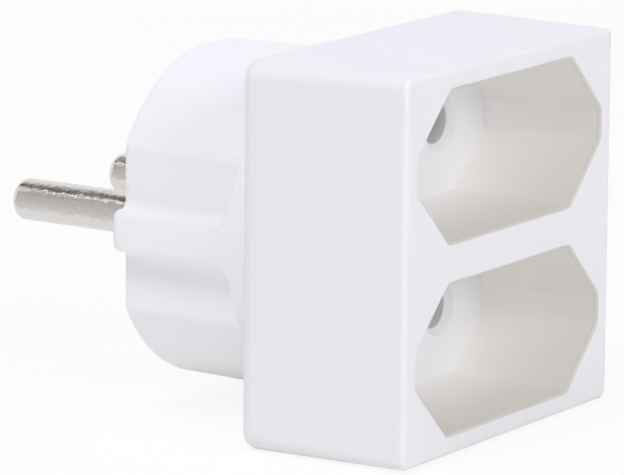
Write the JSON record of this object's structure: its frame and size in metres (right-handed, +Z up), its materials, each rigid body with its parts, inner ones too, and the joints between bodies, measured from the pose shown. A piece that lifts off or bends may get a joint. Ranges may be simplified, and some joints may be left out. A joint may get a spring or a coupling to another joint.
{
  "type": "double socket adapter",
  "caption": "Square white plug adapter with flat hexagonal two-pin sockets on its face, on a round two-pin wall plug with guide noses.",
  "frame": {"origin": "middle of the plug's face, halfway between the two pins", "axes": "+Y out of the plug's face along the pins, so the sockets face -Y; +X to the right for someone who looks at the sockets; +Z up, from the lower socket to the upper one"},
  "size_m": [0.0448, 0.0599, 0.0434],
  "materials": {
    "white_moulding": "satin moulded urea plastic, fine-grained",
    "white_cover": "matt moulded plastic",
    "nickelled_brass": "turned and nickel plated",
    "bare_brass": "rolled sheet, bare",
    "zinced_steel": "zinc plated"
  },
  "bodies": {
    "root": {"front_housing": "white_moulding", "rear_housing": "white_moulding", "contact_cover": "white_cover", "left_pin": "nickelled_brass", "right_pin": "nickelled_brass", "left_contact_strip": "bare_brass", "right_contact_strip": "bare_brass", "upper_left_contact_sleeve": "bare_brass", "upper_right_contact_sleeve": "bare_brass", "lower_left_contact_sleeve": "bare_brass", "lower_right_contact_sleeve": "bare_brass", "contact_rivets": "bare_brass", "closing_screw": "zinced_steel"}
  },
  "joints": []
}
